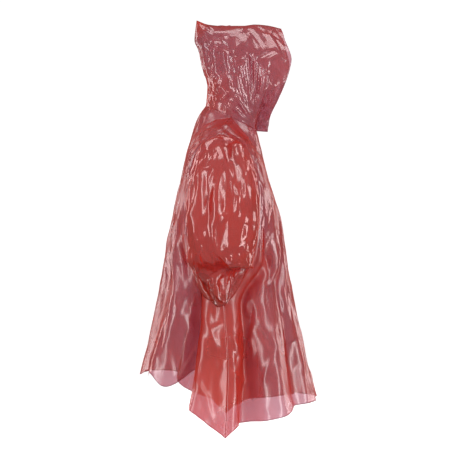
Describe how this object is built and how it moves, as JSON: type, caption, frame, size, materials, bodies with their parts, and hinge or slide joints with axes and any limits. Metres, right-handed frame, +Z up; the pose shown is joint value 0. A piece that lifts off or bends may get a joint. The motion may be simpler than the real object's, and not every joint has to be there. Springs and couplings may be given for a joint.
{
  "type": "rain poncho",
  "caption": "Hooded rain poncho in thin see-through red plastic film, in the hollow form it has when worn, with wide short sleeves and a flared open hem.",
  "frame": {"origin": "midway between the wearer's shoulders, at the base of the neck, where the poncho is held up", "axes": "+Z up; the front of the poncho faces -Y; the wearer's right-hand side is at -X"},
  "size_m": [0.6712, 0.5898, 1.3552],
  "materials": {
    "front_panel_film": "thin see-through red plastic film, glossy, crinkled",
    "back_panel_film": "thin see-through red plastic film, glossy, crinkled",
    "sleeve_right_film": "thin see-through red plastic film, glossy, crinkled",
    "sleeve_left_film": "thin see-through red plastic film, glossy, crinkled",
    "hood_right_film": "thin see-through red plastic film, glossy, crinkled",
    "hood_left_film": "thin see-through red plastic film, glossy, crinkled"
  },
  "bodies": {
    "root": {"front_panel": "front_panel_film", "back_panel": "back_panel_film", "sleeve_right": "sleeve_right_film", "sleeve_left": "sleeve_left_film", "hood_right": "hood_right_film", "hood_left": "hood_left_film"}
  },
  "joints": []
}
